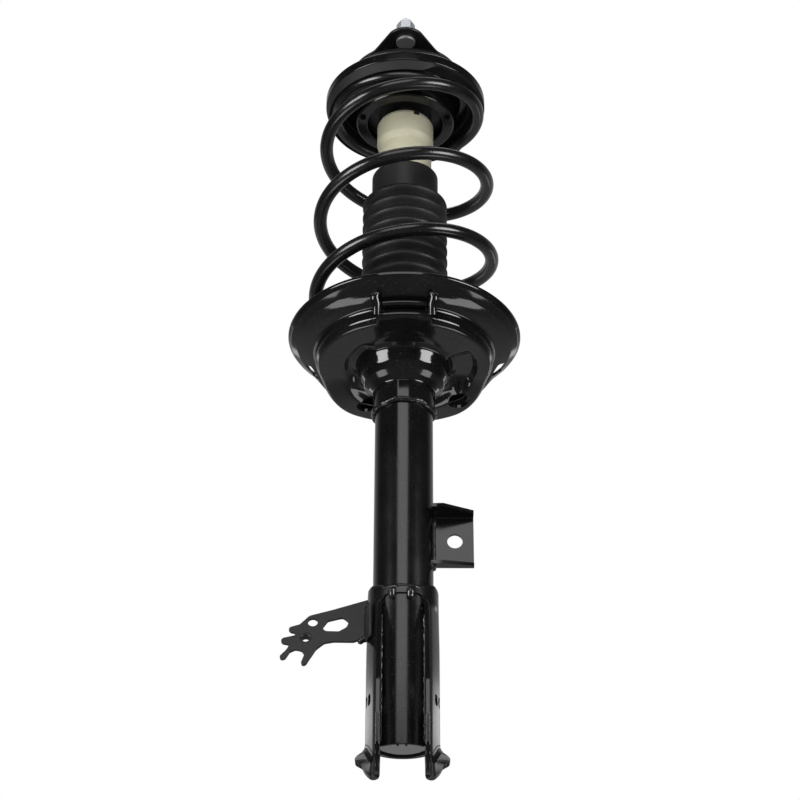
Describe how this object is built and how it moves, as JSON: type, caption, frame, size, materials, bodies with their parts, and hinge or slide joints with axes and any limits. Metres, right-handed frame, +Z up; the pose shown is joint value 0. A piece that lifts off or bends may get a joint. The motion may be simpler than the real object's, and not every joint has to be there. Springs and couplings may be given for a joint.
{
  "type": "suspension strut assembly",
  "caption": "Complete car suspension strut: stud mount, steering bearing, coil spring, bump stop, dust boot, gas damper and bolt-on knuckle bracket.",
  "frame": {"origin": "centre of the three-stud circle, on the upper face of the mount plate", "axes": "+Z up along the strut, towards the car's strut tower; the knuckle bracket opens towards -Y; the stabiliser-link bracket points towards +X"},
  "size_m": [0.2054, 0.2054, 0.7331],
  "materials": {
    "black_ecoat": "glossy black e-coat on steel",
    "seat_ecoat": "semi-gloss black e-coat on stamped steel",
    "tube_ecoat": "glossy black paint on drawn tube",
    "bracket_ecoat": "satin black e-coat",
    "spring_coating": "semi-gloss black powder coat on spring steel",
    "zinc": "bright zinc plating",
    "bare_steel": "machined or sintered steel, oiled",
    "polished_steel": "ground and polished hard steel",
    "chrome_rod": "hard chrome, ground",
    "mount_rubber": "moulded natural rubber, matte black",
    "insulator_rubber": "moulded rubber, matte black",
    "boot_rubber": "matte black moulded elastomer",
    "bearing_plastic": "black glass-filled nylon",
    "cage_plastic": "natural nylon",
    "band_plastic": "bronze-filled fluoropolymer",
    "bush_bronze": "sintered bronze liner",
    "bump_foam": "cream cellular polyurethane, fine skin"
  },
  "bodies": {
    "mount": {"mount_plate": "black_ecoat", "mount_studs": "zinc", "stud_nuts": "zinc", "mount_cup": "black_ecoat", "mount_rubber": "mount_rubber", "mount_core": "bare_steel", "rod_washer": "zinc", "rod_nut": "zinc", "bump_washer": "black_ecoat", "bearing_upper_race": "bearing_plastic", "bump_stop": "bump_foam", "piston_rod": "chrome_rod", "rebound_stop": "insulator_rubber", "piston": "bare_steel", "piston_band": "band_plastic", "valve_shims": "polished_steel", "piston_nut": "zinc"},
    "bearing_ring": {"bearing_cage": "cage_plastic", "bearing_balls": "polished_steel"},
    "upper_seat": {"bearing_lower_race": "bearing_plastic", "upper_seat": "seat_ecoat", "upper_insulator": "insulator_rubber", "coil_spring": "spring_coating", "dust_boot": "boot_rubber"},
    "strut_tube": {"reserve_tube": "tube_ecoat", "tube_cap": "zinc", "rod_guide": "bare_steel", "guide_bush": "bush_bronze", "rod_seal": "insulator_rubber", "pressure_tube": "bare_steel", "foot_valve": "bare_steel", "base_cap": "tube_ecoat", "lower_seat": "black_ecoat", "lower_insulator": "insulator_rubber", "knuckle_bracket": "black_ecoat", "link_bracket": "black_ecoat", "hose_bracket": "bracket_ecoat", "hose_nut": "bracket_ecoat"}
  },
  "joints": [
    {"name": "steer", "type": "hinge", "parent": "mount", "child": "upper_seat", "pos_m": [0, 0, -0.016], "axis": [0, 0, 1], "range_deg": [-42, 42]},
    {"name": "bearing_roll", "type": "hinge", "parent": "mount", "child": "bearing_ring", "pos_m": [0, 0, -0.016], "axis": [0, 0, 1], "range_deg": [-21.5, 21.5]},
    {"name": "damper", "type": "slide", "parent": "upper_seat", "child": "strut_tube", "axis": [0, 0, 1], "range_m": [0, 0.1295], "stiffness_N_per_m": 25000, "springref_m": -0.03, "deforming": ["coil_spring", "dust_boot"]}
  ],
  "couplings": [
    {"joint": "bearing_roll", "follows": "steer", "ratio": 0.5}
  ]
}
